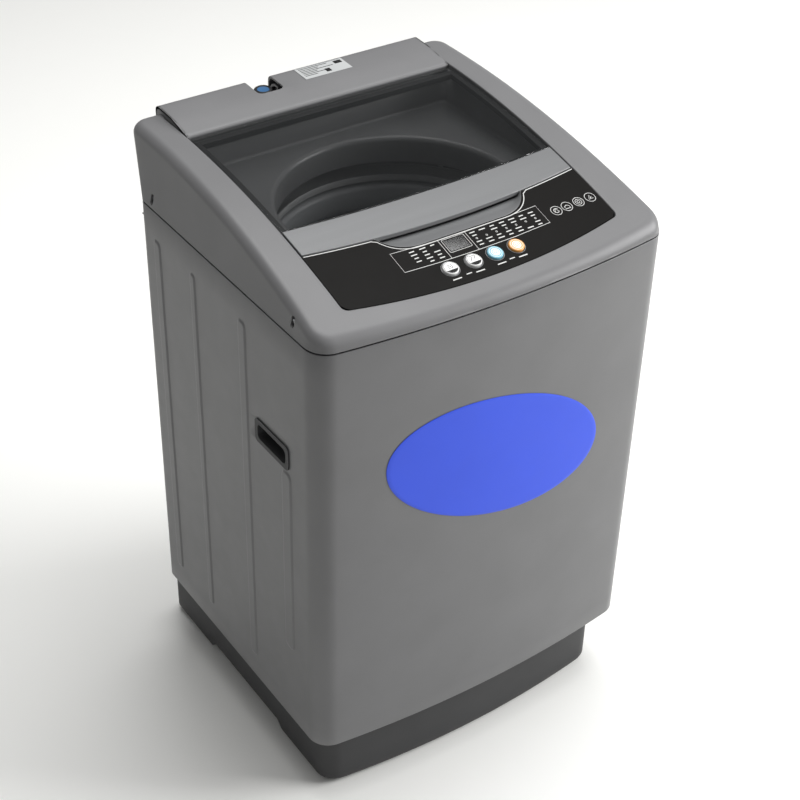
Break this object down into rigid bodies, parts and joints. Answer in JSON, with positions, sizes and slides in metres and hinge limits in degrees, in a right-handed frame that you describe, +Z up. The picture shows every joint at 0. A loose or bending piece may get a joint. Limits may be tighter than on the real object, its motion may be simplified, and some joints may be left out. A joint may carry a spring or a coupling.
{
  "type": "top load washing machine",
  "caption": "Top-loading washer: bowed steel cabinet, plastic base, curved top cover, smoked hinged lid, console with push buttons, suspended tub, basket, pulsator and belt drive.",
  "frame": {"origin": "bottom centre of the machine's box, on the floor under its feet", "axes": "+Z up; the front with the console and decal faces -Y; +X is to the right of a person facing the front"},
  "size_m": [0.544, 0.5209, 0.8798],
  "materials": {
    "body_plastic": "satin grey moulded plastic",
    "cabinet_paint": "satin grey powder coat with a fine metallic fleck",
    "base_plastic": "matt charcoal moulded plastic",
    "console_film": "gloss black film",
    "smoked_glass": "smoked clear acrylic",
    "display_lens": "gloss smoked lens",
    "white_button": "satin white",
    "blue_button": "satin pale blue",
    "orange_button": "satin amber",
    "decal_film": "printed blue film",
    "label_film": "printed silver film",
    "cap_plastic": "blue moulded plastic",
    "black_plastic": "matt black",
    "white_plastic": "pale grey moulded plastic",
    "pulsator_plastic": "pale grey moulded plastic",
    "filter_plastic": "pale blue frame",
    "stainless": "brushed stainless",
    "zinc_steel": "zinc-plated",
    "painted_iron": "painted",
    "cast_aluminium": "as cast",
    "black_rubber": "matt",
    "circuit_board": "green board"
  },
  "bodies": {
    "cabinet": {"cabinet_shell": "cabinet_paint", "rear_panel": "cabinet_paint", "base_frame": "base_plastic", "foot_front_left": "black_rubber", "foot_rear_left": "black_rubber", "foot_rear_right": "black_rubber", "top_cover": "body_plastic", "rear_deck_cover": "body_plastic", "console_panel": "console_film", "finger_scoop": "body_plastic", "display_window": "display_lens", "control_board": "circuit_board", "lid_pin_left": "zinc_steel", "lid_pin_right": "zinc_steel", "grip_cup_left": "base_plastic", "grip_cup_right": "base_plastic", "rear_screw_left": "zinc_steel", "rear_screw_right": "zinc_steel", "cover_screw_rear_left": "zinc_steel", "cover_screw_front_left": "zinc_steel", "cover_screw_rear_right": "zinc_steel", "cover_screw_front_right": "zinc_steel", "front_decal": "decal_film", "rating_label": "label_film", "inlet_valve": "black_plastic", "suspension_rod_front_left": "zinc_steel", "suspension_rod_front_right": "zinc_steel", "suspension_rod_rear_left": "zinc_steel", "suspension_rod_rear_right": "zinc_steel", "suspension_spring_front_left": "zinc_steel", "suspension_spring_front_right": "zinc_steel", "suspension_spring_rear_left": "zinc_steel", "suspension_spring_rear_right": "zinc_steel", "drain_hose": "black_rubber", "drain_spigot": "black_plastic"},
    "adjustable_foot": {"foot_front_right": "black_rubber"},
    "lid": {"lid_frame": "body_plastic", "lid_window": "smoked_glass"},
    "start_button": {"button_start": "white_button"},
    "water_level_button": {"button_water_level": "white_button"},
    "function_button": {"button_function": "blue_button"},
    "power_button": {"button_power": "orange_button"},
    "inlet_dust_cap": {"inlet_cap": "cap_plastic"},
    "suspended_tub": {"outer_tub": "white_plastic", "tub_ring": "white_plastic", "support_plate": "zinc_steel", "water_seal": "black_rubber", "clutch_housing": "cast_aluminium", "motor": "painted_iron", "drain_valve": "white_plastic", "drive_belt": "black_rubber"},
    "basket": {"wash_basket": "stainless", "balance_ring": "white_plastic", "spin_shaft": "zinc_steel"},
    "lint_trap": {"lint_filter": "filter_plastic"},
    "pulsator": {"pulsator": "pulsator_plastic", "pulsator_screw": "pulsator_plastic", "agitator_shaft": "zinc_steel", "driven_pulley": "cast_aluminium"},
    "motor_rotor": {"motor_pulley": "cast_aluminium"}
  },
  "joints": [
    {"name": "lid_hinge", "type": "hinge", "parent": "cabinet", "child": "lid", "pos_m": [0, 0.1575, 0.8587], "axis": [-1, 0, 0], "range_deg": [0, 100]},
    {"name": "start_press", "type": "slide", "parent": "cabinet", "child": "start_button", "axis": [0, 0.2779, -0.9606], "range_m": [0, 0.0015], "stiffness_N_per_m": 400, "springref_m": -0.002},
    {"name": "water_level_press", "type": "slide", "parent": "cabinet", "child": "water_level_button", "axis": [0, 0.2779, -0.9606], "range_m": [0, 0.0015], "stiffness_N_per_m": 400, "springref_m": -0.002},
    {"name": "function_press", "type": "slide", "parent": "cabinet", "child": "function_button", "axis": [0, 0.2779, -0.9606], "range_m": [0, 0.0015], "stiffness_N_per_m": 400, "springref_m": -0.002},
    {"name": "power_press", "type": "slide", "parent": "cabinet", "child": "power_button", "axis": [0, 0.2779, -0.9606], "range_m": [0, 0.0015], "stiffness_N_per_m": 400, "springref_m": -0.002},
    {"name": "inlet_cap_pull", "type": "slide", "parent": "cabinet", "child": "inlet_dust_cap", "axis": [0, 0, 1], "range_m": [0, 0.03]},
    {"name": "foot_screw", "type": "slide", "parent": "cabinet", "child": "adjustable_foot", "axis": [0, 0, -1], "range_m": [0, 0.006]},
    {"name": "tub_suspension", "type": "slide", "parent": "cabinet", "child": "suspended_tub", "axis": [0, 0, 1], "range_m": [-0.015, 0.012], "stiffness_N_per_m": 9000, "springref_m": 0.0239, "deforming": ["suspension_spring_front_left", "suspension_spring_front_right", "suspension_spring_rear_left", "suspension_spring_rear_right"]},
    {"name": "basket_spin", "type": "hinge", "parent": "suspended_tub", "child": "basket", "pos_m": [0, -0.021, 0.3], "axis": [0, 0, 1], "continuous": true},
    {"name": "lint_filter_pull", "type": "slide", "parent": "basket", "child": "lint_trap", "axis": [0, -1, 0], "range_m": [0, 0.04]},
    {"name": "pulsator_turn", "type": "hinge", "parent": "suspended_tub", "child": "pulsator", "pos_m": [0, -0.021, 0.3], "axis": [0, 0, 1], "continuous": true},
    {"name": "motor_turn", "type": "hinge", "parent": "suspended_tub", "child": "motor_rotor", "pos_m": [0.138, -0.021, 0.156], "axis": [0, 0, 1], "continuous": true}
  ],
  "couplings": [
    {"joint": "motor_turn", "follows": "pulsator_turn", "ratio": 4.2222}
  ]
}
